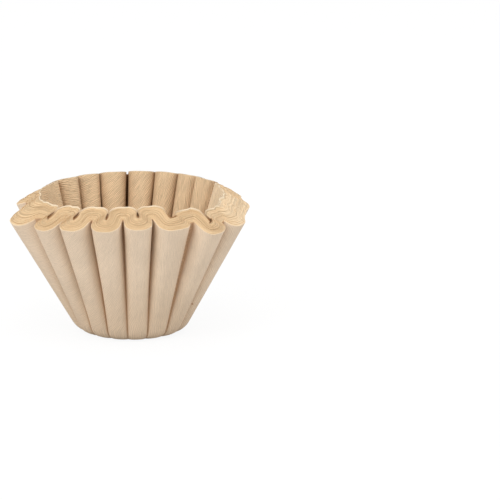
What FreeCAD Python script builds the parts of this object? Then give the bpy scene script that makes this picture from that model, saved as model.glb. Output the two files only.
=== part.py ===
import FreeCAD, Part
import math
import os

# A nest of paper coffee filters with a flat round base and a fluted wall.
# The filters are flat discs of paper, laid on each other and pressed into shape together, so the
# nest is one thick fluted band: bent round the foot, folded into flutes, and bevelled at the rim,
# where the inner discs reach higher than the outer ones. Nothing moves, and it is one solid.
# Origin: centre of the underside, which stands on the table. +Z up, -Y towards the viewer.

# Driving dimensions, in millimetres
SIZES = [
    ("sheet_count", "40", "filters in the nest"),
    ("sheet_thickness", "0.1", "one pressed filter, measured at the base"),
    ("foot_radius", "25", "where base and wall would meet without rounding"),
    ("foot_rounding", "6.5", "outside rounding between base and wall"),
    ("foot_scallop", "2", "how far the creases dip in from the foot's round outline"),
    ("foot_wall", "3", "from the foot radius in to the corner of the hollow's floor"),
    ("floor_rounding", "1.5", "rounding of the corner of the hollow's floor"),
    ("height", "64.2", "table to the inner edge of the rim"),
    ("rim_fall", "8.1", "fall of the rim from its inner edge to its outer edge"),
    ("rim_bow", "1", "how far the rim's profile bulges above a straight line"),
    ("ridge_reach", "55.3", "axis to the outside of a flute at the rim"),
    ("fold_depth", "8.8", "outside of a flute in to the bottom of the outer groove"),
    ("ridge_wall", "6.1", "paper across the rim at the outside of a flute"),
    ("fold_wall", "6.1", "paper across the rim between two flutes"),
    ("groove_gap", "2.4", "widest gap between two flutes, outside"),
    ("groove_bend", "0.5", "bend radius at the bottom of an outer groove"),
    ("slit_gap", "1.4", "widest gap between two inner folds"),
    ("slit_bend", "0.4", "bend radius at the end of an inner slit"),
    ("push_step", "1", "length of one unit of push in the table of flutes"),
]

# One row for each flute, anticlockwise seen from above, starting left of the front.
# Angles are from the front (-Y) towards the right (+X), pushes are outward:
# ridge angle, ridge push, angle of the fold after it, push of that fold.
# The flutes are as uneven as the photograph shows them, and nearly even where it doesn't.
FLUTES = [
    (-73.0, 0.0, -55.5, 0.8),
    (-45.6, -0.2, -39.0, -0.8),
    (-30.6, -1.9, -22.1, -2.3),
    (-12.5, -2.7, -4.1, -3.3),
    (4.7, -4.0, 12.9, -3.6),
    (21.9, -2.4, 35.8, 2.5),
    (40.5, 3.0, 52.5, 6.0),
    (59.5, 2.6, 74.0, 3.0),
    (86.0, -1.0, 100.0, 0.5),
    (112.5, -1.0, 124.5, -0.7),
    (132.8, 0.0, 140.3, -0.7),
    (148.5, 0.0, 156.2, -0.7),
    (164.5, 0.0, 172.3, -0.9),
    (181.2, 0.0, 191.0, -0.3),
    (198.8, 0.0, 206.8, 0.1),
    (214.8, 0.0, 223.0, -1.2),
    (231.4, 0.0, 240.5, -0.4),
    (253.2, -2.2, 271.0, 0.0),
]

# At the foot the creases are even in front, and even again but nearer to each other behind
FIRST_CREASE = -67.7
FRONT_STEP = 21.3
FRONT_STEPS = 8
FULL_TURN = 360.0
REAR_STEP = (FULL_TURN - FRONT_STEP * FRONT_STEPS) / (len(FLUTES) - FRONT_STEPS)
OUTWARD = 1
INWARD = -1

# Down to the foot each flute stays broad and the crease beside it stays narrow: the power of the
# share of the outline that is left to the crease, for the share of the foot's arc
GATHER = 2.0

# Each bend is a row of flat strips, as creased paper is
BEND_STRIPS = 6
FOOT_STRIPS = 4
FLOOR_STRIPS = 2

doc = FreeCAD.newDocument("filter_nest")
sheet = doc.addObject("Spreadsheet::Sheet", "Sizes")
for row, (alias, value, note) in enumerate(SIZES, start=1):
    sheet.set(f"A{row}", alias)
    sheet.set(f"B{row}", value)
    sheet.setAlias(f"B{row}", alias)
    sheet.set(f"C{row}", note)
doc.recompute()


def size(alias):
    """A driving dimension, as the sheet holds it."""
    return float(sheet.get(alias))


def crease_angle(index):
    """Angle at the foot of the fold after a flute."""
    in_front = max(0, min(index, FRONT_STEPS))
    return FIRST_CREASE + FRONT_STEP * in_front + REAR_STEP * (index - in_front)


def direction(angle):
    """Unit vector in plan at an angle from the front, turning towards the right."""
    turn = math.radians(angle)
    return FreeCAD.Vector(math.sin(turn), -math.cos(turn), 0)


# The rim's profile is one arc through its inner edge (crest) and its outer edge (ridge)
base_stack = size("sheet_count") * size("sheet_thickness")
band_width = size("fold_depth") + size("fold_wall")
crest_reach = size("ridge_reach") - band_width
ridge_level = size("height") - size("rim_fall")
chord = math.hypot(band_width, size("rim_fall"))
crown = (chord**2 / 4 + size("rim_bow") ** 2) / (2 * size("rim_bow"))
crown_inset = (crown - size("rim_bow")) / chord
crown_reach = crest_reach + band_width / 2 - size("rim_fall") * crown_inset
crown_level = size("height") - size("rim_fall") / 2 - band_width * crown_inset


def rim_level(reach):
    """Height of the rim at a distance from the axis."""
    return crown_level + math.sqrt(crown**2 - (reach - crown_reach) ** 2)


class Corner:
    """A rounded corner in profile, between a level floor and a wall that leans outward."""

    def __init__(self, radius, level, rounding, wall_reach, wall_level, strips):
        self.radius = radius
        self.level = level
        self.rounding = rounding
        self.lean = math.atan2(wall_reach - radius, wall_level - level)
        self.tangent = rounding / math.tan((math.pi / 2 + self.lean) / 2)
        self.strips = strips

    def profile(self):
        """Points (distance from the axis, height) from the floor's edge round to the wall's foot."""
        points = []
        for strip in range(self.strips + 1):
            turn = (math.pi / 2 - self.lean) * strip / self.strips
            reach = self.radius - self.tangent + self.rounding * math.sin(turn)
            points.append((reach, self.level + self.rounding * (1 - math.cos(turn))))
        return points


foot = Corner(
    size("foot_radius"), 0.0, size("foot_rounding"), size("ridge_reach"), ridge_level, FOOT_STRIPS
)
floor = Corner(
    size("foot_radius") - size("foot_wall"),
    base_stack,
    size("floor_rounding"),
    crest_reach,
    size("height"),
    FLOOR_STRIPS,
)


def bends(outline):
    """The bends of one outline in order: (angle, apex reach, bend radius, turn, foot angle)."""
    found = []
    count = len(FLUTES)
    for index, (ridge_angle, ridge_push, fold_angle, fold_push) in enumerate(FLUTES):
        last_fold = FLUTES[index - 1][2] - (FULL_TURN if index == 0 else 0.0)
        next_ridge = FLUTES[(index + 1) % count][0] + (FULL_TURN if index == count - 1 else 0.0)
        ridge_room = math.radians(min(ridge_angle - last_fold, fold_angle - ridge_angle))
        fold_room = math.radians(min(fold_angle - ridge_angle, next_ridge - fold_angle))
        fold_foot = crease_angle(index)
        ridge_foot = (crease_angle(index - 1) + fold_foot) / 2
        ridge = size("ridge_reach") + ridge_push * size("push_step")
        groove = size("ridge_reach") - size("fold_depth") + fold_push * size("push_step")
        if outline == "outside":
            ridge_bend = (ridge * ridge_room - size("groove_gap") / 2) / (1 + ridge_room)
            found.append((ridge_angle, ridge, ridge_bend, OUTWARD, ridge_foot))
            found.append((fold_angle, groove, size("groove_bend"), INWARD, fold_foot))
        else:
            slit = ridge - size("ridge_wall")
            crest = groove - size("fold_wall")
            crest_bend = (crest * fold_room - size("slit_gap") / 2) / (1 - fold_room)
            found.append((ridge_angle, slit, size("slit_bend"), OUTWARD, ridge_foot))
            found.append((fold_angle, crest, crest_bend, INWARD, fold_foot))
    return found


def outline_points(outline):
    """Points round one fluted outline at the rim, the angle of each at the foot and its nearness to a crease.

    The outline is a chain of bends joined by straight tangent legs. The angles at the foot follow the
    lengths along the outline, gathered towards the creases: the sharp bends, whose turn is the other
    way from the broad ones.
    """
    chain = bends(outline)
    count = len(chain)
    centres = [direction(angle) * (apex - turn * bend) for angle, apex, bend, turn, _ in chain]
    headings, leg_lengths = [], []
    for index, (_, _, bend, turn, _) in enumerate(chain):
        following = (index + 1) % count
        across = centres[following] - centres[index]
        both = bend + chain[following][2]
        headings.append(math.atan2(across.y, across.x) + turn * math.asin(both / across.Length))
        leg_lengths.append(math.sqrt(across.Length**2 - both**2))
    starts, sweeps, arc_lengths = [], [], []
    for index, (_, _, bend, turn, _) in enumerate(chain):
        sweep = (headings[index] - headings[index - 1]) * turn % (2 * math.pi)
        starts.append(headings[index - 1] - turn * math.pi / 2)
        sweeps.append(turn * sweep)
        arc_lengths.append(bend * sweep)
    spans = [
        arc_lengths[index] / 2 + leg_lengths[index] + arc_lengths[(index + 1) % count] / 2
        for index in range(count)
    ]
    points, foot_angles, nearness = [], [], []
    broad = OUTWARD if outline == "outside" else INWARD
    for index, (_, _, bend, bend_turn, foot_angle) in enumerate(chain):
        for strip in range(BEND_STRIPS + 1):
            share = strip / BEND_STRIPS
            way = starts[index] + sweeps[index] * share
            point = centres[index] + FreeCAD.Vector(math.cos(way), math.sin(way), 0) * bend
            points.append(FreeCAD.Vector(point.x, point.y, rim_level(point.Length)))
            from_apex = arc_lengths[index] * (share - 0.5)
            start = index if from_apex > 0 else index - 1
            turn = (chain[(start + 1) % count][4] - chain[start][4]) % FULL_TURN
            away = abs(from_apex) / spans[start]
            gathered = 1 - (1 - away) ** GATHER if bend_turn == broad else away**GATHER
            foot_angles.append(foot_angle + math.copysign(turn * gathered, from_apex))
            nearness.append(gathered if bend_turn == broad else 1 - gathered)
    return points, foot_angles, nearness


def foot_rings(corner, foot_angles, dips):
    """The rings of points round a rounded corner, from the floor's edge to the wall's foot."""
    return [
        [
            direction(angle) * (reach - dip) + FreeCAD.Vector(0, 0, level)
            for angle, dip in zip(foot_angles, dips)
        ]
        for reach, level in corner.profile()
    ]


def flat_face(*corners):
    """A flat face with these corners."""
    return Part.Face(Part.makePolygon([*corners, corners[0]]))


def folded_strip(lower, upper):
    """Two flat triangles for each step from one ring of points to the next."""
    faces = []
    for index in range(len(lower)):
        following = (index + 1) % len(lower)
        faces.append(flat_face(lower[index], lower[following], upper[following]))
        faces.append(flat_face(lower[index], upper[following], upper[index]))
    return faces


# The nest's skin: up the outside, over the rim and down into the hollow
outside_rim, outside_feet, outside_nearness = outline_points("outside")
inside_rim, inside_feet, inside_nearness = outline_points("inside")
outside_dips = [size("foot_scallop") * near**3 for near in outside_nearness]
rings = foot_rings(foot, outside_feet, outside_dips) + [outside_rim, inside_rim]
rings += reversed(foot_rings(floor, inside_feet, [0.0] * len(inside_feet)))
skin = [flat_face(*rings[0]), flat_face(*rings[-1])]
for lower_ring, upper_ring in zip(rings, rings[1:]):
    skin += folded_strip(lower_ring, upper_ring)
shell = Part.makeShell(skin)
shell.sewShape()
paper = Part.makeSolid(shell)
if paper.Volume < 0:
    paper.reverse()

nest = doc.addObject("Part::Feature", "filter_nest")
nest.Label = "filter_nest"
nest.Shape = paper
nest.Placement = FreeCAD.Placement()
doc.recompute()

for item in doc.Objects:
    if "Invalid" in item.State or "Error" in item.State:
        raise RuntimeError(f"{item.Label} failed: {item.State}")
if nest.Shape.isNull() or not nest.Shape.isValid() or len(nest.Shape.Solids) != 1:
    raise RuntimeError(f"{nest.Label} has no sound solid")
box = nest.Shape.BoundBox
print(f"{nest.Label}: {nest.Shape.Volume:.0f} mm3 in {len(nest.Shape.Faces)} faces")
print(f"x {box.XMin:.2f} {box.XMax:.2f}, y {box.YMin:.2f} {box.YMax:.2f}, z {box.ZMin:.2f} {box.ZMax:.2f}")
os.makedirs("parts", exist_ok=True)
nest.Shape.exportStep("parts/filter_nest.step")
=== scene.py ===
"""Looks of a nest of paper coffee filters: forty flat discs of brown crepe paper, pressed together.

Each sheet runs from the flat foot round a soft corner and up a fluted wall. The band of sheets folds
into flutes, so the rim shows every sheet's cut edge, swirling round the narrow slits of the flutes.
"""

import logging
import math
from dataclasses import dataclass, field
from enum import Enum
from typing import Any, Optional, Union

import bpy
from mathutils import Euler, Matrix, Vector


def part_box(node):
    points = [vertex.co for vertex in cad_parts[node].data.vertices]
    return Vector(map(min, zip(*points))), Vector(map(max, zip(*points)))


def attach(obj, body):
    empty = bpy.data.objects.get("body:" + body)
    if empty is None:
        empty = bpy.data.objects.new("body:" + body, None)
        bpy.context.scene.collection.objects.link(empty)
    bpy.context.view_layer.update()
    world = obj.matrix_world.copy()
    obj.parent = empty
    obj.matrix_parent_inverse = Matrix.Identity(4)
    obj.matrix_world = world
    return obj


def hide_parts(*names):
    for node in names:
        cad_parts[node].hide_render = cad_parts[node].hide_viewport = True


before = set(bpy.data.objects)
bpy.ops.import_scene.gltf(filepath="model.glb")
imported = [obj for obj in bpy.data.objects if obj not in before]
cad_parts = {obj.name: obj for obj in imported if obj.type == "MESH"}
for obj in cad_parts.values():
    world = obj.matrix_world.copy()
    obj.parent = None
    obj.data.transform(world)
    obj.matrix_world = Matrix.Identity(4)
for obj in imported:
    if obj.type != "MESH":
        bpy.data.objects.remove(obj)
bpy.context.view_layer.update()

LOG = logging.getLogger("filter_nest")
MM = 0.001
FULL_TURN = 360.0
BODY = "root"
NODE = "filter_nest"
WHITE = (1.0, 1.0, 1.0)

Colour = tuple[float, float, float]
Place = tuple[float, float, float]
Operand = Union[float, int, tuple, "Field"]
Settings = Optional[dict[str, Any]]
Sockets = Optional[dict[Union[int, str], Any]]


@dataclass(frozen=True)
class Flute:
    """One flute and the fold after it.

    Angles go from the front towards the right, in degrees, and pushes go outwards, in mm. Slack is how far
    its loose sheets may spread, as a multiple of the snug stack. Fill is how far loose sheets close its
    hollow from the inside, in mm, and below 0 how far they draw back from it. Bridged and packed say how
    much of its hollow, and of the fold after it, the sheets close by running straight across, from 0 to 1.
    Bevel is how far its outermost sheet's rim has slid down, in mm. Slit is half the least gap between the
    two sides of its hollow, in mm.
    """

    ridge_angle: float
    ridge_push: float
    fold_angle: float
    fold_push: float
    slack: float
    fill: float
    bridged: float = 0.0
    packed: float = 0.0
    bevel: float = 0.0
    slit: float = 0.28


# The flutes are as uneven as the real ones at the front, and nearly even behind
FLUTES = (
    Flute(-73.0, 1.0, -55.5, 0.8, 2.1, 0.0, bridged=0.8, bevel=1.8),
    Flute(-45.6, -0.2, -39.0, -0.8, 1.3, -0.9, slit=0.6),
    Flute(-30.6, -1.9, -22.1, -2.3, 1.3, -0.7, slit=0.6),
    Flute(-12.5, -2.7, -4.1, -3.3, 1.15, 0.0),
    Flute(4.7, -4.0, 12.9, -3.6, 1.15, 0.0, slit=0.4),
    Flute(21.9, -2.4, 35.8, 2.5, 1.15, 0.0),
    Flute(40.5, 3.0, 52.5, 6.0, 1.2, -1.0),
    Flute(59.5, 2.4, 74.0, 3.0, 2.7, 0.0, bridged=0.8, packed=0.85),
    Flute(86.0, -1.0, 100.0, 0.5, 2.7, 0.0, bridged=0.85, packed=0.8),
    Flute(112.5, -1.0, 124.5, -0.7, 2.2, 0.0, bridged=0.6),
    Flute(132.8, 0.0, 140.3, -0.7, 1.2, 0.0),
    Flute(148.5, 0.0, 156.2, -0.7, 1.2, 0.0),
    Flute(164.5, 0.0, 172.3, -0.9, 1.2, 0.0),
    Flute(181.2, 0.0, 191.0, -0.3, 1.2, 0.0),
    Flute(198.8, 0.0, 206.8, 0.1, 1.2, 0.0),
    Flute(214.8, 0.0, 223.0, -1.2, 1.2, 0.0),
    Flute(231.4, 0.0, 240.5, -0.4, 1.3, 0.0),
    Flute(253.2, -2.2, 271.0, 0.0, 1.9, 0.0, bridged=0.85, bevel=0.2),
)


@dataclass(frozen=True)
class NestSizes:
    """Sizes of the whole nest, the outer ones from the frame: lengths in metres, angles in degrees.

    Fold depth goes from the outside of a ridge to the inside of a fold, both unpushed. The stacks are the
    thickness of all the sheets, and outer gain is how much longer the outermost sheet's wall is than the
    innermost's. Gather says how strongly the creases narrow down to the foot. Scallop and notch are how
    far a crease dips into the foot's outline, broadly and in its middle, and foot shift is how far the
    foot lies to the right of the axis, each as a share of the foot's radius. Lean is how much higher the
    rim stands for each metre to the right.

    Wave turn is how far the band's legs turn away from the way round the rim. Outer slack is the outer
    side's share of the sheets' slack. The squares say how much squarer than round the folds are inside
    and the ridges outside. Groove is half the least gap between two flutes, outside. Round the crowd
    angle, up to the crowd width away, the sheets fan out and are crumpled.
    """

    rim_reach: float
    rim_height: float
    fold_depth: float = 14.9 * MM
    rim_stack: float = 5.6 * MM
    base_stack: float = 3.6 * MM
    foot_radius: float = 24.4 * MM
    inner_foot_radius: float = 22.0 * MM
    outer_gain: float = 0.7 * MM
    foot_rounding: float = 6.0 * MM
    gather: float = 3.0
    scallop: float = 0.035
    notch: float = 0.015
    foot_shift: float = 0.03
    lean: float = 0.014
    first_crease: float = -67.7
    front_step: float = 21.3
    front_steps: int = 8
    wave_turn: float = 86.0
    steps_per_half: int = 22
    outer_slack: float = 0.12
    inner_square: float = 0.55
    outer_square: float = 0.3
    groove: float = 0.28 * MM
    crowd_angle: float = 82.0
    crowd_width: float = 30.0

    @property
    def crest_reach(self) -> float:
        """Distance from the axis to an unpushed inner fold."""
        return self.rim_reach - self.fold_depth

    @property
    def inner_length(self) -> float:
        """Length of the innermost sheet's wall, from the frame's height at the fold pushed furthest in."""
        deepest = self.crest_reach + min(flute.fold_push for flute in FLUTES) * MM
        return math.hypot(self.rim_height - self.base_stack, deepest - self.inner_foot_radius)

    @property
    def outer_length(self) -> float:
        """Length of the outermost sheet's wall."""
        return self.inner_length + self.outer_gain

    def crease(self, index: int) -> float:
        """Where the fold after a flute stands at the foot: in even steps in front, narrower ones behind.

        Args:
            index: Which flute. The last one comes before the first, as -1.

        Returns:
            Its angle from the front in degrees.
        """
        in_front = max(0, min(index, self.front_steps))
        behind = (FULL_TURN - self.front_step * self.front_steps) / (len(FLUTES) - self.front_steps)
        return self.first_crease + self.front_step * in_front + behind * (index - in_front)


@dataclass(frozen=True)
class Station:
    """One place round the nest.

    Middle is where the band's middle line is at the rim. Outer and inner lead from there to its two sides,
    and the feet are where those sides stand on a foot of radius 1. Turn is the outer foot's angle. Crease
    is 1 at the bottom of an open groove outside and 0 at a ridge, and hollow is 1 at the bottom of an open
    hollow inside and 0 at a fold. Bevel is how far the outermost sheet's rim has slid down there.
    """

    middle: Vector
    outer: Vector
    inner: Vector
    outer_foot: Vector
    inner_foot: Vector
    turn: float
    crease: float
    hollow: float
    bevel: float


def bearing(angle: float) -> Vector:
    """Unit vector in plan at an angle in degrees from the front, towards the right."""
    turn = math.radians(angle)
    return Vector((math.sin(turn), -math.cos(turn), 0.0))


class FlutedBand:
    """The plan of the band of sheets at the rim: a wave with soft bends and nearly straight legs.

    The apex share is how far the middle line keeps from the outside of a bend, in stacks. Where no other
    leg is near, the room is the far stacks. In a narrow place the band keeps the thinnest share of its snug
    thickness, and its thickness is evened out over the smoothing points to either side. In a closed bay
    the shoulder points next to a bend stay where they are. A crease's notch starts at notch from, on the
    way from the ridge at 0 to the crease at 1.
    """

    FINE_STEPS = 40
    APEX_SHARE = 0.55
    FAR_STACKS = 4.0
    THINNEST = 0.2
    SMOOTHING = 3
    SHOULDER = 2
    SCALLOP_POWER = 3
    NOTCH_FROM = 0.6

    def __init__(self, sizes: NestSizes) -> None:
        """Args:
        sizes: The nest's sizes.
        """
        self.sizes = sizes
        self.points, self.feet, self.creases = self._middle_line()
        self.normals = self._normals()
        self.stations = self._place()

    def _half_wave(self) -> list[tuple[float, float]]:
        """Half a wave, from a ridge to the fold after it.

        Returns:
            Shares (along, across) of the half wave, which starts at (0, 0) and would end at (1, 1).
        """
        count = self.sizes.steps_per_half * self.FINE_STEPS
        along, across = [0.0], [0.0]
        for step in range(count):
            heading = math.radians(self.sizes.wave_turn) * math.sin(math.pi * (step + 0.5) / count)
            along.append(along[-1] + math.cos(heading))
            across.append(across[-1] + math.sin(heading))
        picks = range(0, count, self.FINE_STEPS)
        return [(along[pick] / along[-1], across[pick] / across[-1]) for pick in picks]

    def _gathered(self, creased: float) -> float:
        """How near to the crease a point is at the foot, from how near to the fold it is at the rim, 0 to 1.

        Down to the foot each flute stays broad, and the crease beside it stays narrow.
        """
        return 1.0 - (1.0 - creased) ** self.sizes.gather

    def _middle_line(self) -> tuple[list[Vector], list[tuple[float, float]], list[float]]:
        """The band's middle line at the rim.

        Returns:
            Its points in plan, the angles at the foot that its outer and inner side rise from, and how near
            it is to a fold, from 0 to 1.
        """
        shares = self._half_wave()
        sizes = self.sizes
        inset = self.APEX_SHARE * sizes.rim_stack
        points, feet, creases = [], [], []
        for index, flute in enumerate(FLUTES):
            following = FLUTES[(index + 1) % len(FLUTES)]
            next_ridge = following.ridge_angle + (FULL_TURN if index == len(FLUTES) - 1 else 0.0)
            ridge = sizes.rim_reach + flute.ridge_push * MM - inset
            fold = sizes.crest_reach + flute.fold_push * MM + inset
            ridge_after = sizes.rim_reach + following.ridge_push * MM - inset
            before, here, after = (sizes.crease(index + step) for step in (-1, 0, 1))
            halves = (
                (flute.ridge_angle, flute.fold_angle, ridge, fold, (before + here) / 2, here, False),
                (flute.fold_angle, next_ridge, fold, ridge_after, (here + after) / 2, here, True),
            )
            for start, end, reach, reach_after, broad_foot, crease_foot, leaving in halves:
                for order, (along, across) in enumerate(shares):
                    share = order / sizes.steps_per_half
                    creased = 1.0 - share if leaving else share
                    way = crease_foot - broad_foot
                    distance = reach + (reach_after - reach) * across
                    points.append(bearing(start + (end - start) * along) * distance)
                    outer_foot = broad_foot + way * self._gathered(creased)
                    inner_foot = crease_foot - way * self._gathered(1.0 - creased)
                    feet.append((outer_foot, inner_foot))
                    creases.append(creased)
        return points, feet, creases

    def _normals(self) -> list[Vector]:
        """The directions out of the nest.

        Returns:
            For each point, a unit vector at right angles to the middle line.
        """
        points = self.points
        normals = []
        for index in range(len(points)):
            heading = (points[(index + 1) % len(points)] - points[index - 1]).normalized()
            normals.append(Vector((heading.y, -heading.x, 0.0)))
        return normals

    def _room(self, index: int, side: float) -> float:
        """Distance from a point, square to the middle line, to the next leg of the band.

        Args:
            index: Which point.
            side: 1 to look outwards, -1 to look inwards.

        Returns:
            The distance in metres, or the far stacks where nothing is near.
        """
        points = self.points
        count = len(points)
        start, way = points[index], self.normals[index] * side
        nearest = self.FAR_STACKS * self.sizes.rim_stack
        three_halves = 3 * self.sizes.steps_per_half
        for offset in range(-three_halves, three_halves):
            own_stretch = -2 <= offset <= 1
            if own_stretch:
                continue
            first = points[(index + offset) % count] - start
            second = points[(index + offset + 1) % count] - start
            side_first = way.x * first.y - way.y * first.x
            side_second = way.x * second.y - way.y * second.x
            if side_first * side_second > 0.0 or side_first == side_second:
                continue
            hit = first.lerp(second, side_first / (side_first - side_second))
            distance = hit.dot(way)
            if 0.0 < distance < nearest:
                nearest = distance
        return nearest

    def _nearby(self, index: int) -> tuple[Flute, Flute, float]:
        """The flutes that a point lies between.

        Args:
            index: Which point.

        Returns:
            The flute before it, the one after it, and how far it is from the one ridge to the other, 0 to 1.
        """
        place = index / (2 * self.sizes.steps_per_half)
        before = math.floor(place)
        return FLUTES[before % len(FLUTES)], FLUTES[(before + 1) % len(FLUTES)], place - before

    def _slit(self, index: int, side: float) -> float:
        """Half the least gap between two legs of the band.

        Args:
            index: Which point.
            side: 1 for the grooves outside, -1 for the hollows inside.

        Returns:
            The half gap at the point, in metres.
        """
        before, after, share = self._nearby(index)
        nearest = before if share < 0.5 else after
        return self.sizes.groove if side > 0.0 else nearest.slit * MM

    def _bridging(self, index: int) -> float:
        """How far the sheets bridge a hollow.

        Args:
            index: A point of the hollow.

        Returns:
            A share, from 0 to 1.
        """
        before, after, share = self._nearby(index)
        return before.bridged if share < 0.5 else after.bridged

    def _bevel(self, index: int) -> float:
        """How far the outermost sheet's rim has slid down, changing softly from flute to flute.

        Args:
            index: Which point.

        Returns:
            The way down at the point, in metres.
        """
        before, after, share = self._nearby(index)
        smooth = share * share * (3.0 - 2.0 * share)
        return (before.bevel + (after.bevel - before.bevel) * smooth) * MM

    def _spread(self, index: int, outward: bool) -> float:
        """How much thicker than snug the band is at a point, on one side of its middle line.

        Args:
            index: Which point.
            outward: True for the outer side.

        Returns:
            A factor: loose legs spread, outward bends are squarer than round, and a filled flute closes.
        """
        sizes = self.sizes
        before, after, share = self._nearby(index)
        legs = abs(self.normals[index].cross(self.points[index].normalized()).z)
        slack = before.slack + (after.slack - before.slack) * share - 1.0
        bend = 4.0 * legs * legs * (1.0 - legs * legs)
        creased = self.creases[index]
        if outward:
            return 1.0 + slack * legs * sizes.outer_slack + sizes.outer_square * bend * (1.0 - creased)
        fill = before.fill * max(0.0, 1.0 - 4.0 * share) + after.fill * max(0.0, 4.0 * share - 3.0)
        return 1.0 + slack * legs + sizes.inner_square * bend * creased + fill * MM / (sizes.rim_stack / 2)

    def _half_stacks(self, side: float) -> list[float]:
        """How thick the band is on one side of its middle line: loose sheets spread up to the next leg.

        Args:
            side: 1 for the outer side, -1 for the inner side.

        Returns:
            A thickness in metres for each point.
        """
        sizes = self.sizes
        snug = sizes.rim_stack / 2
        count = len(self.points)
        raw = []
        for index in range(count):
            room = self._room(index, side) / 2 - self._slit(index, side)
            raw.append(min(snug * self._spread(index, side > 0.0), max(room, self.THINNEST * snug)))
        window = range(-self.SMOOTHING, self.SMOOTHING + 1)
        smooth = []
        for index in range(count):
            near = [raw[(index + step) % count] for step in window]
            smooth.append(min(sum(near) / len(near), raw[index]))
        return smooth

    def _closed(self, sides: list[Vector], first: int, shares: list[float]) -> list[Vector]:
        """Closes bays of the band: there its loose sheets run straight from one bend to the next.

        Args:
            sides: For each point of the middle line, the way to the side that has the bays.
            first: Index of the bend before the first bay.
            shares: How much of each bay is closed, 0 to 1, in order.

        Returns:
            The ways to that side, with its bays closed.
        """
        points, half = self.points, self.sizes.steps_per_half
        count = len(points)
        closed = list(sides)
        steps = 2 * (half - self.SHOULDER)
        for bay, share in enumerate(shares):
            start = first + 2 * half * bay + self.SHOULDER
            near, far = (points[place % count] + sides[place % count] for place in (start, start + steps))
            for step in range(1, steps):
                index = (start + step) % count
                across = near.lerp(far, step / steps) - points[index]
                closed[index] = sides[index].lerp(across, share)
        return closed

    def _place(self) -> list[Station]:
        """Puts together what the guides need at each point.

        Returns:
            The stations along the band.
        """
        outer = [normal * thick for normal, thick in zip(self.normals, self._half_stacks(1.0))]
        inner = [normal * -thick for normal, thick in zip(self.normals, self._half_stacks(-1.0))]
        outer = self._closed(outer, 0, [flute.packed for flute in FLUTES])
        inner = self._closed(inner, -self.sizes.steps_per_half, [flute.bridged for flute in FLUTES])
        aside = Vector((self.sizes.foot_shift, 0.0, 0.0))
        stations = []
        for index, (outer_foot, inner_foot) in enumerate(self.feet):
            crease = self.creases[index]
            broad = self._gathered(crease) ** self.SCALLOP_POWER
            sharp = max(0.0, (crease - self.NOTCH_FROM) / (1.0 - self.NOTCH_FROM))
            dip = self.sizes.scallop * broad + self.sizes.notch * sharp
            stations.append(
                Station(
                    middle=self.points[index],
                    outer=outer[index],
                    inner=inner[index],
                    outer_foot=bearing(outer_foot) * (1.0 - dip) + aside,
                    inner_foot=bearing(inner_foot) + aside,
                    turn=outer_foot,
                    crease=crease * (1.0 - self._nearby(index)[0].packed),
                    hollow=(1.0 - crease) * (1.0 - self._bridging(index)),
                    bevel=self._bevel(index),
                )
            )
        return stations


class Graph:
    """Adds nodes to one node tree, for a finish or for a Geometry Nodes modifier."""

    def __init__(self, tree: bpy.types.NodeTree) -> None:
        """Args:
        tree: The node tree to add to.
        """
        self.tree = tree

    def node(self, kind: str, settings: Settings = None, sockets: Sockets = None) -> Any:
        """Adds one node.

        Args:
            kind: The node's type.
            settings: Its properties, which are set before the sockets.
            sockets: Values or Fields for its inputs, by name or number.

        Returns:
            The node.
        """
        made = self.tree.nodes.new(kind)
        for name, value in (settings or {}).items():
            setattr(made, name, value)
        for name, value in (sockets or {}).items():
            if isinstance(value, Field):
                self.tree.links.new(value.socket, made.inputs[name])
            else:
                made.inputs[name].default_value = value
        return made

    def field(self, kind: str, settings: Settings, sockets: Sockets, output: Any = 0) -> "Field":
        """Adds one node, as the method node does, and wraps the output that has this name or number."""
        return Field(self, self.node(kind, settings, sockets).outputs[output])

    def noise(self, sockets: Sockets, dimensions: str = "3D", output: Any = 0) -> "Field":
        """Adds a noise over the place (3D), over the number W (1D) or over both (4D), and wraps an output."""
        return self.field("ShaderNodeTexNoise", {"noise_dimensions": dimensions}, sockets, output)

    @classmethod
    def of(cls, owner: Union[bpy.types.Material, bpy.types.World]) -> "Graph":
        """Turns on nodes and clears them.

        Args:
            owner: A new material or world.

        Returns:
            A graph for its node tree.
        """
        owner.use_nodes = True
        owner.node_tree.nodes.clear()
        return cls(owner.node_tree)


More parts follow.
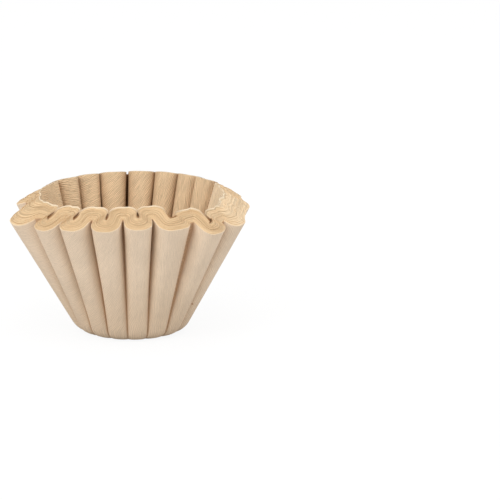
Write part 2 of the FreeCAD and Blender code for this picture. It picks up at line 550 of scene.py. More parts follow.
class Field:
    """A node's output that can be used in Python expressions."""

    def __init__(self, graph: Graph, socket: bpy.types.NodeSocket) -> None:
        """Args:
        graph: Where new nodes go.
        socket: The output it wraps.
        """
        self.graph = graph
        self.socket = socket

    @property
    def is_vector(self) -> bool:
        """True where it holds a vector or a colour."""
        return self.socket.type in {"VECTOR", "RGBA"}

    def _join(self, operation: str, first: Operand, second: Operand) -> "Field":
        """Joins two operands with a Math node, or with a Vector Math node where one of them is a vector.

        Args:
            operation: What the node does.
            first: The left operand.
            second: The right operand.

        Returns:
            The result.
        """
        flat = [part for part in (first, second) if not _is_vector(part)]
        if len(flat) == 2:
            return self.graph.field("ShaderNodeMath", {"operation": operation}, {0: first, 1: second})
        if operation == "MULTIPLY" and flat:
            vector = second if flat[0] is first else first
            sockets = {0: vector, "Scale": flat[0]}
            return self.graph.field("ShaderNodeVectorMath", {"operation": "SCALE"}, sockets)
        return self.graph.field("ShaderNodeVectorMath", {"operation": operation}, {0: first, 1: second})

    def __add__(self, other: Operand) -> "Field":
        """self + other."""
        return self._join("ADD", self, other)

    def __radd__(self, other: Operand) -> "Field":
        """other + self."""
        return self._join("ADD", other, self)

    def __sub__(self, other: Operand) -> "Field":
        """self - other."""
        return self._join("SUBTRACT", self, other)

    def __rsub__(self, other: Operand) -> "Field":
        """other - self."""
        return self._join("SUBTRACT", other, self)

    def __mul__(self, other: Operand) -> "Field":
        """self * other."""
        return self._join("MULTIPLY", self, other)

    def __rmul__(self, other: Operand) -> "Field":
        """other * self."""
        return self._join("MULTIPLY", other, self)

    def __truediv__(self, other: Operand) -> "Field":
        """self / other."""
        return self._join("DIVIDE", self, other)

    def __pow__(self, other: Operand) -> "Field":
        """self ** other."""
        return self._join("POWER", self, other)

    def at_least(self, other: Operand) -> "Field":
        """The larger of the two."""
        return self._join("MAXIMUM", self, other)

    def root(self) -> "Field":
        """Its square root."""
        return self.graph.field("ShaderNodeMath", {"operation": "SQRT"}, {0: self})

    def length(self) -> "Field":
        """The length of a vector."""
        return self.graph.field("ShaderNodeVectorMath", {"operation": "LENGTH"}, {0: self}, "Value")

    def part(self, axis: str) -> "Field":
        """One component of a vector, by its name X, Y or Z."""
        return self.graph.field("ShaderNodeSeparateXYZ", None, {0: self}, axis)

    def ramp(self, low: float, high: float) -> "Field":
        """A smooth step from 0, at low, to 1, at high."""
        sockets = {"Value": self, "From Min": low, "From Max": high}
        return self.graph.field("ShaderNodeMapRange", {"interpolation_type": "SMOOTHSTEP"}, sockets)


def _is_vector(part: Operand) -> bool:
    """True for a vector Field, or for numbers in a tuple."""
    return part.is_vector if isinstance(part, Field) else isinstance(part, tuple)


class Attribute(str, Enum):
    """The names of what the guide mesh stores for each of its points."""

    MIDDLE = "middle"
    OUTER = "outer"
    INNER = "inner"
    OUTER_FOOT = "outer_foot"
    INNER_FOOT = "inner_foot"
    PLACE = "place"
    DEPTH = "depth"
    FLAT = "flat"
    SHEET = "sheet"
    EDGE = "edge"
    CREASE = "crease"
    HOLLOW = "hollow"
    BEVEL = "bevel"
    RUFFLE = "ruffle"


@dataclass(frozen=True)
class Ring:
    """One ring of guide points: how far it lies along the foot, its corner and the wall, from 0 to 1 each.

    Depth is 0 on the outside of the nest and 1 on its inside. Edge is 1 on a sheet's cut edge.
    """

    base: float
    corner: float
    climb: float
    depth: float
    edge: float = 0.0


class SheetGuide:
    """A plain grid of points that the pressing tree turns into sheets of paper."""

    def __init__(self, band: FlutedBand, rings: list[Ring], pole: bool) -> None:
        """Args:
        band: The plan of the rim.
        rings: The grid's rings, in order, so that its faces point outwards.
        pole: True where the first ring closes in the middle of the foot.
        """
        self.band = band
        self.rings = rings
        self.pole = pole

    def build(self, name: str) -> bpy.types.Object:
        """Makes the grid.

        Args:
            name: The object's name.

        Returns:
            The object, with the attributes that the tree reads.
        """
        stations = self.band.stations
        count = len(stations)
        faces = []
        for level in range(len(self.rings) - 1):
            for index in range(count):
                after = (index + 1) % count
                low, high = level * count, (level + 1) * count
                faces.append((low + index, low + after, high + after, high + index))
        total = len(self.rings) * count
        if self.pole:
            faces += [(total, (index + 1) % count, index) for index in range(count)]
        mesh = bpy.data.meshes.new(name)
        mesh.from_pydata([(0.0, 0.0, 0.0)] * (total + int(self.pole)), [], faces)
        self._store(mesh)
        thing = bpy.data.objects.new(name, mesh)
        bpy.context.scene.collection.objects.link(thing)
        return thing

    def _store(self, mesh: bpy.types.Mesh) -> None:
        """Writes the attributes of every point.

        Args:
            mesh: The grid, with its points ring by ring and the middle of the foot last.
        """
        stations, rings = self.band.stations, self.rings
        centre = Ring(0.0, 0.0, 0.0, rings[0].depth)
        spots = [(ring, station) for ring in rings for station in stations]
        spots += [(centre, stations[0])] if self.pole else []
        vectors = {
            Attribute.MIDDLE: [spot.middle for _, spot in spots],
            Attribute.OUTER: [spot.outer for _, spot in spots],
            Attribute.INNER: [spot.inner for _, spot in spots],
            Attribute.OUTER_FOOT: [spot.outer_foot for _, spot in spots],
            Attribute.INNER_FOOT: [spot.inner_foot for _, spot in spots],
            Attribute.PLACE: [Vector((ring.base, ring.corner, ring.climb)) for ring, _ in spots],
            Attribute.FLAT: [self._flat(ring, spot) for ring, spot in spots],
        }
        for name, values in vectors.items():
            layer = mesh.attributes.new(name.value, "FLOAT_VECTOR", "POINT")
            layer.data.foreach_set("vector", [number for value in values for number in value])
        numbers = {
            Attribute.DEPTH: [ring.depth for ring, _ in spots],
            Attribute.EDGE: [ring.edge for ring, _ in spots],
            Attribute.CREASE: [spot.crease for _, spot in spots],
            Attribute.HOLLOW: [spot.hollow for _, spot in spots],
            Attribute.BEVEL: [spot.bevel for _, spot in spots],
            Attribute.RUFFLE: [self._ruffle(spot) for _, spot in spots],
        }
        for name, values in numbers.items():
            mesh.attributes.new(name.value, "FLOAT", "POINT").data.foreach_set("value", values)

    def _flat(self, ring: Ring, station: Station) -> Vector:
        """Where a point lay on the flat disc before pressing.

        Args:
            ring: The point's ring.
            station: Its place round the nest.

        Returns:
            The place on the disc, in metres.
        """
        sizes = self.band.sizes
        reach = sizes.foot_radius * ring.base + sizes.outer_length * ring.climb
        return station.outer_foot.lerp(station.inner_foot, ring.depth).normalized() * reach

    def _ruffle(self, station: Station) -> float:
        """How crumpled the rim is: most where the sheets fan out.

        Args:
            station: A place round the nest.

        Returns:
            A share, from 0 to 1.
        """
        sizes = self.band.sizes
        away = (station.turn - sizes.crowd_angle + FULL_TURN / 2) % FULL_TURN - FULL_TURN / 2
        return max(0.0, 1.0 - (away / sizes.crowd_width) ** 2)


@dataclass(frozen=True)
class Unevenness:
    """How the unevenness of the sheets changes over the nest.

    Waves and ripples lift the rim, by a scale round the nest. The wall sways and the rim is crushed, by
    a scale for each metre. A step is how fast a noise changes from one sheet to the next, so that near
    sheets move nearly alike. The powers say how near to the rim the crushing keeps, and how near to the
    outermost sheet the bevel does.
    """

    wave_scale: float = 5.0
    wave_step: float = 0.31
    clump_step: float = 2.1
    ripple_scale: float = 16.0
    ripple_step: float = 0.09
    sway_scale: float = 110.0
    crush_scale: float = 260.0
    crush_step: float = 0.05
    crush_power: float = 10.0
    bevel_power: float = 2.0


@dataclass(frozen=True)
class Pressing:
    """How one kind of sheet is pressed: what the tree's inputs are set to.

    Pitch is the step in depth from sheet to sheet. Uneven says how much single sheets stand out or fall
    back at the rim, clumps how much groups of them do, and proud how much higher they all stand. Wobble
    is how far the wall wanders, and ruffle how far the rim is crumpled where the sheets fan out. All but
    the pitch are lengths in metres.
    """

    sheets: int = 1
    pitch: float = 0.0
    uneven: float = 0.0
    clumps: float = 0.0
    proud: float = 0.0
    wobble: float = 0.12 * MM
    ruffle: float = 0.4 * MM
    seed: float = 3.0
    smooth: bool = True


class PressingTree:
    """The Geometry Nodes tree that presses guide points into fluted sheets, one or many."""

    FLOATS = (
        "Base Stack", "Foot Radius", "Inner Foot Radius", "Outer Length", "Inner Length",
        "Foot Rounding", "Lean", "Pitch", "Uneven", "Clumps", "Proud", "Wobble", "Ruffle", "Seed",
    )

    def __init__(self, sizes: NestSizes, noise: Unevenness = Unevenness()) -> None:
        """Args:
        sizes: The nest's sizes.
        noise: How the sheets' unevenness changes.
        """
        self.sizes = sizes
        self.noise = noise
        self.tree = bpy.data.node_groups.new("pressed_sheets", "GeometryNodeTree")
        self.sockets: dict[str, str] = {}
        self.graph = Graph(self.tree)
        self._make_interface()
        self._fill()

    def _make_interface(self) -> None:
        face = self.tree.interface
        face.new_socket("Geometry", in_out="INPUT", socket_type="NodeSocketGeometry")
        for name in self.FLOATS:
            made = face.new_socket(name, in_out="INPUT", socket_type="NodeSocketFloat")
            self.sockets[name] = made.identifier
        for name, kind in (("Sheets", "Int"), ("Smooth", "Bool"), ("Finish", "Material")):
            made = face.new_socket(name, in_out="INPUT", socket_type=f"NodeSocket{kind}")
            self.sockets[name] = made.identifier
        face.new_socket("Geometry", in_out="OUTPUT", socket_type="NodeSocketGeometry")

    def _read(self, name: Attribute, kind: str = "FLOAT") -> Field:
        """A named attribute of the guide."""
        return self.graph.field("GeometryNodeInputNamedAttribute", {"data_type": kind}, {"Name": name.value})

    def _fill(self) -> None:
        """Adds the tree's nodes."""
        graph = self.graph
        given = graph.node("NodeGroupInput")
        names = (*self.FLOATS, "Sheets", "Smooth", "Finish")
        take = {name: Field(graph, given.outputs[name]) for name in names}
        guide = Field(graph, given.outputs["Geometry"])

        single = graph.field("GeometryNodeGeometryToInstance", None, {0: guide})
        sockets = {0: single, "Amount": take["Sheets"]}
        copies = graph.node("GeometryNodeDuplicateElements", {"domain": "INSTANCE"}, sockets)
        number = Field(graph, copies.outputs["Duplicate Index"])
        labelled = graph.field(
            "GeometryNodeStoreNamedAttribute",
            {"data_type": "FLOAT", "domain": "INSTANCE"},
            {0: Field(graph, copies.outputs[0]), "Name": Attribute.SHEET.value, "Value": number},
        )
        real = graph.field("GeometryNodeRealizeInstances", None, {0: labelled})
        placed = graph.field("GeometryNodeSetPosition", None, {0: real, "Position": self._position(take)})
        smooth = graph.field("GeometryNodeSetShadeSmooth", None, {0: placed, "Shade Smooth": take["Smooth"]})
        dressed = graph.field("GeometryNodeSetMaterial", None, {0: smooth, "Material": take["Finish"]})
        graph.node("NodeGroupOutput", None, {0: dressed})

    def _position(self, take: dict[str, Field]) -> Field:
        """Where each guide point goes.

        Args:
            take: The tree's inputs.

        Returns:
            The position, as a vector.
        """
        graph, noise = self.graph, self.noise
        vectors = (
            Attribute.MIDDLE, Attribute.OUTER, Attribute.INNER,
            Attribute.OUTER_FOOT, Attribute.INNER_FOOT, Attribute.PLACE,
        )
        middle, outer, inner, outer_foot, inner_foot, place = (
            self._read(name, "FLOAT_VECTOR") for name in vectors
        )
        sheet = self._read(Attribute.SHEET)
        ruffle = self._read(Attribute.RUFFLE)
        base, corner, climb = (place.part(axis) for axis in "XYZ")
        depth = self._read(Attribute.DEPTH) + sheet * take["Pitch"]
        foot = outer_foot * (1.0 - depth) + inner_foot * depth

        # A sheet's own noise changes slowly round the rim, and from each sheet to the next
        own = sheet * noise.wave_step + take["Seed"]
        waves = graph.noise({"Vector": foot, "W": own, "Scale": noise.wave_scale}, "4D")
        alike = sheet * noise.ripple_step
        ripple = graph.noise({"Vector": foot, "W": alike, "Scale": noise.ripple_scale}, "4D")
        kind = {"noise_dimensions": "1D"}
        jitter = graph.field("ShaderNodeTexWhiteNoise", kind, {"W": sheet + take["Seed"]})
        clump = graph.noise({"W": own * noise.clump_step, "Scale": 1.0}, "1D")
        extra = take["Proud"] + (jitter - 0.5) * take["Uneven"] + (clump - 0.5) * take["Clumps"]
        extra = extra + (waves - 0.5) * take["Clumps"] + (ripple - 0.5) * ruffle * take["Ruffle"]
        extra = extra - self._read(Attribute.BEVEL) * (1.0 - depth) ** noise.bevel_power

        plan = middle + outer * (1.0 - depth) + inner * depth
        level = depth * take["Base Stack"]
        radius = take["Foot Radius"] + (take["Inner Foot Radius"] - take["Foot Radius"]) * depth
        up = graph.field("ShaderNodeCombineXYZ", None, {"Z": level})
        heel = foot * radius + up
        across = (plan - foot * radius).length()
        reach = take["Outer Length"] + (take["Inner Length"] - take["Outer Length"]) * depth
        rise = (reach * reach - across * across).root() + plan.part("X") * take["Lean"]
        rim = plan + up + graph.field("ShaderNodeCombineXYZ", None, {"Z": rise})
        wall = rim - heel
        wall_length = wall.length()

        # Corner of the foot: a curve from the flat base, past the heel, to the wall
        rounding = take["Foot Rounding"]
        flat_end = foot * (radius - rounding) + up
        wall_start = heel + wall * (rounding / wall_length)
        left = 1.0 - corner
        bend = flat_end * (left * left) + heel * (corner * left * 2.0) + wall_start * (corner * corner)
        body = up + (bend - up) * base + (rim - wall_start) * climb
        lift = wall * (extra / wall_length) * climb

        # Handled paper isn't quite straight: the wall wanders a little, more towards the rim
        shake = graph.noise({"Vector": body, "Scale": noise.sway_scale}, "3D", "Color")
        sway = (shake - (0.5, 0.5, 0.5)) * (take["Wobble"] * 2.0 * climb)
        alike = sheet * noise.crush_step
        stir = graph.noise({"Vector": body, "W": alike, "Scale": noise.crush_scale}, "4D", "Color")
        crush = (stir - (0.5, 0.5, 0.5)) * (ruffle * take["Ruffle"] * climb**noise.crush_power)
        return body + lift + sway + crush

    def press(
        self, guide: bpy.types.Object, pressing: Pressing, finish: bpy.types.Material
    ) -> bpy.types.Object:
        """Runs the tree on a guide and keeps its result as a plain mesh.

        Args:
            guide: The guide object, which is used up.
            pressing: How the sheets are pressed.
            finish: Their material.

        Returns:
            The finished object, with the guide's name.
        """
        sizes = self.sizes
        values = {
            "Base Stack": sizes.base_stack, "Foot Radius": sizes.foot_radius,
            "Inner Foot Radius": sizes.inner_foot_radius, "Outer Length": sizes.outer_length,
            "Inner Length": sizes.inner_length, "Foot Rounding": sizes.foot_rounding, "Lean": sizes.lean,
            "Pitch": pressing.pitch, "Uneven": pressing.uneven, "Clumps": pressing.clumps,
            "Proud": pressing.proud, "Wobble": pressing.wobble, "Ruffle": pressing.ruffle,
            "Seed": pressing.seed, "Sheets": pressing.sheets, "Smooth": pressing.smooth, "Finish": finish,
        }
        modifier = guide.modifiers.new("pressing", "NODES")
        modifier.node_group = self.tree
        for name, value in values.items():
            modifier[self.sockets[name]] = value
        depsgraph = bpy.context.evaluated_depsgraph_get()
        result = bpy.data.meshes.new_from_object(
            guide.evaluated_get(depsgraph), preserve_all_data_layers=True, depsgraph=depsgraph
        )
        guide.modifiers.remove(modifier)
        blank = guide.data
        guide.data = result
        bpy.data.meshes.remove(blank)
        result.name = guide.name
        return guide


@dataclass(frozen=True)
class PaperFinish:
    """What all paper of the nest shares: a name, its colour, the colour of its pale parts and its grain."""

    name: str
    colour: Colour
    pale_colour: Colour
    grain_depth: float = 0.02 * MM
    roughness: float = 0.85
    specular: float = 0.25

    def make(self) -> bpy.types.Material:
        """Makes the material.

        Returns:
            The material, which reads the guide's attributes and Object coordinates.
        """
        material = bpy.data.materials.new(self.name)
        graph = Graph.of(material)
        place = graph.field("ShaderNodeTexCoord", None, None, "Object")
        colour, height = self._layers(graph, place)
        relief = {"Strength": 1.0, "Distance": 1.0, "Height": height}
        sockets = {
            "Base Color": colour,
            "Roughness": self.roughness,
            "Specular IOR Level": self.specular,
            "Normal": graph.field("ShaderNodeBump", None, relief, "Normal"),
        }
        shader = graph.field("ShaderNodeBsdfPrincipled", None, sockets)
        graph.node("ShaderNodeOutputMaterial", None, {"Surface": shader})
        return material

    def _layers(self, graph: Graph, place: Field) -> tuple[Field, Field]:
        """What changes over the paper.

        Args:
            graph: The material's graph.
            place: Object coordinates.

        Returns:
            Its colour, and its height in metres.
        """
        raise NotImplementedError

    def _attribute(self, graph: Graph, name: Attribute, output: str = "Fac") -> Field:
        """One of the guide's attributes."""
        return graph.field("ShaderNodeAttribute", {"attribute_name": name.value}, None, output)

    @staticmethod
    def _tint(graph: Graph, first: Operand, second: Operand, share: Operand) -> Field:
        """The first colour mixed into the second by a share."""
        sockets = {0: share, 6: _opaque(first), 7: _opaque(second)}
        return graph.field("ShaderNodeMix", {"data_type": "RGBA"}, sockets, 2)


@dataclass(frozen=True)
class CrepeFinish(PaperFinish):
    """The face of a sheet of brown crepe paper, as it is outside if nothing else is given.

    Its crepe is short streaks and fine bent rows, turned by the crepe angle in degrees on the flat disc.
    The tones say how much the crepe, the grain and the clouds lighten and darken it. Where the sheets
    fan out, it is as pale as a cut edge by the share crowd pale. Its folds take painted shade, the fold
    shade tint, from none of it at fold shade from to all of it at fold shade to, and its wall painted
    shade towards the foot, the low shade tint, from none of it at low shade from to all of it at the
    foot. It has a few small flecks, and one larger speck of bark at the front. Sizes of specks go from
    where they end to where they are full.
    """

    crepe_angle: float = 20.0
    crepe_tone: float = 0.45
    crepe_depth: float = 0.1 * MM
    streak_scale: Place = (2000.0, 160.0, 1.0)
    row_scale: float = 390.0
    row_bend: float = 7.0
    row_share: float = 0.3
    grain_scale: float = 2600.0
    grain_tone: float = 0.22
    cloud_scale: float = 90.0
    cloud_tone: float = 0.2
    crowd_pale: float = 0.0
    # Painted shade in the folds: the attribute that masks it, where it starts and ends, and its colour
    fold: Attribute = Attribute.CREASE
    fold_shade_from: float = 0.4
    fold_shade_to: float = 0.75
    fold_shade_tint: Colour = (0.72, 0.58, 0.47)
    # Painted shade: the wall is darkened towards the foot, near the table
    low_shade_from: float = 0.7
    low_shade_tint: Colour = (0.93, 0.91, 0.88)
    fleck_colour: Colour = (0.42, 0.22, 0.12)
    fleck_scale: float = 130.0
    fleck_sizes: tuple[float, float] = (0.035, 0.02)
    fleck_strength: float = 0.35
    bark_place: Place = (28.0 * MM, 0.0, 15.8 * MM)
    bark_sizes: tuple[float, float] = (0.55 * MM, 0.3 * MM)
    bark_strength: float = 0.8

    def _layers(self, graph: Graph, place: Field) -> tuple[Field, Field]:
        """What changes over the face, its folds and its cut edge.

        Args:
            graph: The material's graph.
            place: Object coordinates.

        Returns:
            Its colour, and its height in metres.
        """
        crepe = self._crepe(graph)
        grain = graph.noise({"Vector": place, "Scale": self.grain_scale, "Detail": 2.0})
        cloud = graph.noise({"Vector": place, "Scale": self.cloud_scale, "Detail": 3.0})
        edge = self._attribute(graph, Attribute.EDGE)
        face = 1.0 - edge
        tone = (crepe - 0.5) * face * self.crepe_tone + (grain - 0.5) * self.grain_tone
        tone = tone + (cloud - 0.5) * self.cloud_tone + 1.0
        crowd = self._attribute(graph, Attribute.RUFFLE) * self.crowd_pale
        paper = self._tint(graph, self.colour, self.pale_colour, edge.at_least(crowd)) * tone
        ring = self._attribute(graph, Attribute.PLACE, "Vector")
        corner, climb = ring.part("Y"), ring.part("Z")
        # Painted shade: the paper is darkened in its folds, where less light reaches
        painted_fold_shade = self._attribute(graph, self.fold).ramp(self.fold_shade_from, self.fold_shade_to) * corner
        paper = self._tint(graph, paper, paper * self.fold_shade_tint, painted_fold_shade)
        paper = self._tint(graph, paper, self.fleck_colour, self._flecks(graph, place))
        # Painted shade: darker down the wall towards the foot
        low = climb.ramp(self.low_shade_from, 0.0)
        paper = self._tint(graph, paper, paper * self.low_shade_tint, low)
        return paper, crepe * face * self.crepe_depth + grain * self.grain_depth

    def _crepe(self, graph: Graph) -> Field:
        """The streaks and rows of the crepe.

        Args:
            graph: The material's graph.

        Returns:
            How high the crepe stands, from 0 to 1.
        """
        flat = self._attribute(graph, Attribute.FLAT, "Vector")
        turn = (0.0, 0.0, math.radians(-self.crepe_angle))
        turned = graph.field("ShaderNodeMapping", None, {"Vector": flat, "Rotation": turn})
        drawn = graph.field("ShaderNodeMapping", None, {"Vector": turned, "Scale": self.streak_scale})
        streaks = graph.noise({"Vector": drawn, "Scale": 1.0, "Detail": 2.0})
        bends = {"Distortion": self.row_bend, "Detail": 2.0, "Detail Scale": 0.6}
        sockets = {"Vector": turned, "Scale": self.row_scale, **bends}
        rows = graph.field("ShaderNodeTexWave", None, sockets, "Fac")
        return streaks * (1.0 - self.row_share) + rows * self.row_share

    def _flecks(self, graph: Graph, place: Field) -> Field:
        """The flecks and the speck of bark.

        Args:
            graph: The material's graph.
            place: Object coordinates.

        Returns:
            How strong they are, from 0 to 1.
        """
        sockets = {"Vector": place, "Scale": self.fleck_scale, "Randomness": 1.0}
        fleck = graph.field("ShaderNodeTexVoronoi", None, sockets, "Distance")
        away = (place * (1.0, 0.0, 1.0) - self.bark_place).length()
        front = place.part("Y").ramp(1.0 * MM, -1.0 * MM)
        bark = away.ramp(*self.bark_sizes) * front * self.bark_strength
        return (fleck.ramp(*self.fleck_sizes) * self.fleck_strength).at_least(bark)


@dataclass(frozen=True)
class CutFinish(PaperFinish):
    """The sheets' cut edges, whose tone changes from sheet to sheet and, in a band of sheets, round the rim.

    A band takes the pale colour, from none of it at pale from to all of it at pale to. Where the sheets fan
    out, they take the crowd colour by the crowd share.
    """

    sheet_tone: float = 0.2
    band_scale: float = 2.5
    band_step: float = 0.55
    band_tone: float = 0.5
    pale_from: float = 0.55
    pale_to: float = 0.8
    fibre_scale: float = 2400.0
    fibre_tone: float = 0.2
    crowd_colour: Colour = (0.80, 0.64, 0.44)
    crowd_share: float = 0.65

    def _layers(self, graph: Graph, place: Field) -> tuple[Field, Field]:
        """What changes over the cut edges.

        Args:
            graph: The material's graph.
            place: Object coordinates.

        Returns:
            Their colour, and their height in metres.
        """
        sheet = self._attribute(graph, Attribute.SHEET)
        each = graph.field("ShaderNodeTexWhiteNoise", {"noise_dimensions": "1D"}, {"W": sheet + 0.5})
        foot = self._attribute(graph, Attribute.OUTER_FOOT, "Vector")
        band = graph.noise({"Vector": foot, "W": sheet * self.band_step, "Scale": self.band_scale}, "4D")
        fibre = graph.noise({"Vector": place, "Scale": self.fibre_scale, "Detail": 2.0})
        tone = (each - 0.5) * self.sheet_tone + (band - 0.5) * self.band_tone
        tone = tone + (fibre - 0.5) * self.fibre_tone + 1.0
        pale = band.ramp(self.pale_from, self.pale_to)
        paper = self._tint(graph, self.colour, self.pale_colour, pale)
        crowd = self._attribute(graph, Attribute.RUFFLE) * self.crowd_share
        return self._tint(graph, paper, self.crowd_colour, crowd) * tone, fibre * self.grain_depth


def _opaque(colour: Operand) -> Operand:
    """A colour with its alpha, or the Field as it is."""
    return (*colour, 1.0) if isinstance(colour, tuple) else colour


@dataclass(frozen=True)
class Palette:
    """The three finishes of the nest."""

    outside: PaperFinish = CrepeFinish(
        "paper_outside", colour=(0.71, 0.565, 0.42), pale_colour=(0.76, 0.60, 0.41)
    )
    inside: PaperFinish = CrepeFinish(
        "paper_inside",
        colour=(0.695, 0.515, 0.325),
        pale_colour=(0.84, 0.71, 0.52),
        crepe_angle=142.0,
        crepe_tone=1.2,
        crepe_depth=0.45 * MM,
        crowd_pale=0.8,
        # Painted shade in the hollows inside, darker and wider than outside
        fold=Attribute.HOLLOW,
        fold_shade_from=0.0,
        fold_shade_to=0.6,
        fold_shade_tint=(0.42, 0.26, 0.155),
    )
    edges: PaperFinish = CutFinish(
        "paper_edges", colour=(0.64, 0.46, 0.27), pale_colour=(0.72, 0.55, 0.36)
    )


@dataclass
class FilterNest:
    """The nest of filters: its outermost sheet, its innermost sheet and the cut edges of those between.

    Sheet gap is the free share of each sheet's room at the rim. Sheet depth is one sheet's share of the
    stack. Flange is how far down the wall the sheets between reach, and the back of a whole sheet's edge.
    Lip is how far down the wall the colour of a cut edge fades out. Both are shares of the wall.
    """

    sizes: NestSizes
    palette: Palette = field(default_factory=Palette)
    middle_sheets: int = 38
    sheet_gap: float = 0.18
    sheet_depth: float = 0.025
    wall_rings: int = 40
    corner_rings: int = 7
    base_rings: int = 5
    flange: float = 0.05
    lip: float = 0.006

    def build(self) -> list[bpy.types.Object]:
        """Builds every piece.

        Returns:
            The finished pieces.
        """
        band = FlutedBand(self.sizes)
        tree = PressingTree(self.sizes)
        pieces = [self._outer_sheet(band, tree), self._rim_sheets(band, tree), self._inner_sheet(band, tree)]
        bpy.data.node_groups.remove(tree.tree)
        for piece in pieces:
            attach(piece, BODY)
            LOG.info("%s: %d faces", piece.name, len(piece.data.polygons))
        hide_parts(NODE)
        return pieces

    def _profile(self, depth: float, turn: float) -> list[Ring]:
        """The rings of a whole sheet, from the middle of its foot to its rim and over its cut edge.

        Args:
            depth: The sheet's depth in the stack.
            turn: 1 for a sheet seen from outside, -1 for one seen from inside.

        Returns:
            The rings.
        """
        bases = [level / (self.base_rings + 1) for level in range(1, self.base_rings + 1)]
        corners = [level / self.corner_rings for level in range(self.corner_rings + 1)]
        climbs = [level / self.wall_rings for level in range(1, self.wall_rings)]
        rings = [Ring(base, 0.0, 0.0, depth) for base in bases]
        rings += [Ring(1.0, corner, 0.0, depth) for corner in corners]
        rings += [Ring(1.0, 1.0, climb, depth) for climb in climbs]
        back = depth + turn * self.sheet_depth
        rings += [
            Ring(1.0, 1.0, 1.0 - self.lip, depth),
            Ring(1.0, 1.0, 1.0, depth, 1.0),
            Ring(1.0, 1.0, 1.0, back, 1.0),
            Ring(1.0, 1.0, 1.0 - self.flange, back),
        ]
        return rings

    def _outer_sheet(self, band: FlutedBand, tree: PressingTree) -> bpy.types.Object:
        """The outermost sheet, which is the nest's outside and underside."""
        guide = SheetGuide(band, self._profile(0.0, 1.0), pole=True).build("outer_sheet")
        return tree.press(guide, Pressing(), self.palette.outside.make())

    def _inner_sheet(self, band: FlutedBand, tree: PressingTree) -> bpy.types.Object:
        """Makes the innermost sheet, which lines the hollow and stands a little proud of the rim.

        Args:
            band: The plan of the rim.
            tree: The pressing tree.

        Returns:
            The sheet.
        """
        guide = SheetGuide(band, self._profile(1.0, -1.0), pole=True).build("inner_sheet")
        pressing = Pressing(proud=0.35 * MM, clumps=0.8 * MM)
        made = tree.press(guide, pressing, self.palette.inside.make())
        made.data.flip_normals()
        return made

    def _rim_sheets(self, band: FlutedBand, tree: PressingTree) -> bpy.types.Object:
        """Makes the upper edges of the sheets between the outermost and the innermost one.

        Args:
            band: The plan of the rim.
            tree: The pressing tree.

        Returns:
            The edges, as one piece.
        """
        room = 1.0 - 2.0 * self.sheet_depth
        pitch = room / self.middle_sheets
        near = self.sheet_depth + pitch * self.sheet_gap / 2
        far = near + pitch * (1.0 - self.sheet_gap)
        low = 1.0 - self.flange
        corners = ((low, near), (1.0, near), (1.0, far), (low, far))
        rings = [Ring(1.0, 1.0, climb, depth) for climb, depth in corners]
        guide = SheetGuide(band, rings, pole=False).build("rim_sheets")
        pressing = Pressing(
            sheets=self.middle_sheets, pitch=pitch, uneven=0.22 * MM, clumps=0.7 * MM, smooth=False
        )
        return tree.press(guide, pressing, self.palette.edges.make())


@dataclass(frozen=True)
class Softbox:
    """One soft studio lamp: where it stands, its size and its power."""

    name: str
    place: Place
    size: float
    power: float

    def build(self, aim: Vector) -> None:
        """Hangs the lamp.

        Args:
            aim: The point that it faces.
        """
        lamp = bpy.data.lights.new(self.name, "AREA")
        lamp.shape = "DISK"
        lamp.size = self.size
        lamp.energy = self.power
        thing = bpy.data.objects.new(self.name, lamp)
        thing.location = self.place
        thing.rotation_euler = (aim - Vector(self.place)).to_track_quat("-Z", "Y").to_euler()
        bpy.context.scene.collection.objects.link(thing)


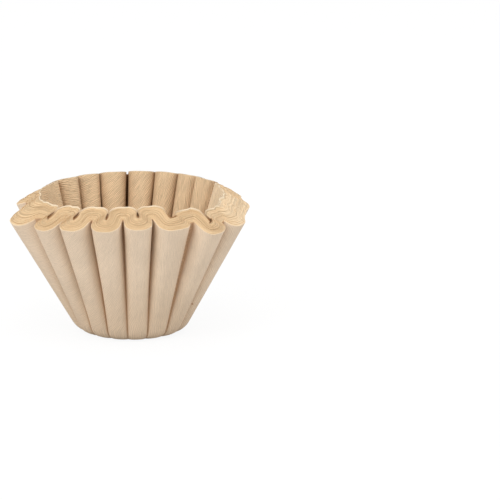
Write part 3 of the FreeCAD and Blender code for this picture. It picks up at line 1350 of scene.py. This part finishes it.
@dataclass(frozen=True)
class Studio:
    """A white table, plain soft light and the camera.

    The camera looks at the aim from the distance and the elevation, in degrees, and the aim stands at the
    aim pixel of the square picture. The table has its own matt tone, and glows white to the camera by the
    table white share, so that the object's shadow stays on it.
    """

    aim: Place = (0.0, 0.0, 35.0 * MM)
    distance: float = 1.2
    elevation: float = 14.1
    lens: float = 190.6
    sensor: float = 36.0
    frame_pixels: float = 500.0
    aim_pixel: tuple[float, float] = (129.85, 253.2)
    daylight: float = 0.98
    table_half: float = 3.0
    table_tone: float = 0.6
    table_glow: float = 1.06
    table_white: float = 0.85
    lamps: tuple[Softbox, ...] = (
        Softbox("key_left", (-0.8, -1.0, 0.9), 0.9, 8.0),
        Softbox("fill_right", (1.0, -0.5, 0.9), 0.9, 3.0),
        Softbox("overhead", (-0.1, -0.3, 1.5), 0.9, 3.0),
    )

    def build(self) -> None:
        """Sets up table, light, camera and view."""
        self._table()
        self._world()
        for lamp in self.lamps:
            lamp.build(Vector(self.aim))
        self._camera()
        bpy.context.scene.view_settings.view_transform = "Standard"

    def _table(self) -> None:
        """The table's top, which looks white to the camera and keeps the object's shadow."""
        mesh = bpy.data.meshes.new("table_top")
        half = self.table_half
        corners = [(-half, -half, 0.0), (half, -half, 0.0), (half, half, 0.0), (-half, half, 0.0)]
        mesh.from_pydata(corners, [], [(0, 1, 2, 3)])
        top = bpy.data.objects.new("table_top", mesh)
        bpy.context.scene.collection.objects.link(top)
        material = bpy.data.materials.new("white_table")
        graph = Graph.of(material)
        seen = graph.field("ShaderNodeLightPath", None, None, "Is Camera Ray")
        matt = graph.field("ShaderNodeBsdfDiffuse", None, {"Color": _opaque((self.table_tone,) * 3)})
        white = {"Color": _opaque(WHITE), "Strength": self.table_glow}
        glow = graph.field("ShaderNodeEmission", None, white)
        mixed = graph.field("ShaderNodeMixShader", None, {0: seen * self.table_white, 1: matt, 2: glow})
        graph.node("ShaderNodeOutputMaterial", None, {"Surface": mixed})
        mesh.materials.append(material)

    def _world(self) -> None:
        """A white room: plain daylight on the object, and white to the camera."""
        world = bpy.data.worlds.new("white_room")
        graph = Graph.of(world)
        seen = graph.field("ShaderNodeLightPath", None, None, "Is Camera Ray")
        strength = seen * (1.0 - self.daylight) + self.daylight
        sockets = {"Color": _opaque(WHITE), "Strength": strength}
        light = graph.field("ShaderNodeBackground", None, sockets)
        graph.node("ShaderNodeOutputWorld", None, {"Surface": light})
        bpy.context.scene.world = world

    def _camera(self) -> None:
        """The camera, turned a little aside so that the nest stands left of the picture's middle."""
        data = bpy.data.cameras.new("camera")
        data.lens = self.lens
        data.sensor_width = self.sensor
        thing = bpy.data.objects.new("camera", data)
        up = math.radians(self.elevation)
        aim = Vector(self.aim)
        thing.location = aim + Vector((0.0, -math.cos(up), math.sin(up))) * self.distance
        facing = (aim - thing.location).to_track_quat("-Z", "Y")
        pixel = self.sensor / self.frame_pixels
        middle = self.frame_pixels / 2
        aside = math.atan((self.aim_pixel[0] - middle) * pixel / self.lens)
        below = math.atan((self.aim_pixel[1] - middle) * pixel / self.lens)
        thing.rotation_mode = "QUATERNION"
        thing.rotation_quaternion = facing @ Euler((below, aside, 0.0), "XYZ").to_quaternion()
        bpy.context.scene.collection.objects.link(thing)
        bpy.context.scene.camera = thing


def main() -> None:
    """Builds the nest and the studio."""
    logging.basicConfig(level=logging.INFO, format="%(name)s %(message)s")
    low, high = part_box(NODE)
    sizes = NestSizes(rim_reach=high.y, rim_height=high.z - low.z)
    pieces = FilterNest(sizes).build()
    Studio().build()
    LOG.info("%d pieces", len(pieces))


if __name__ == "__main__":
    main()
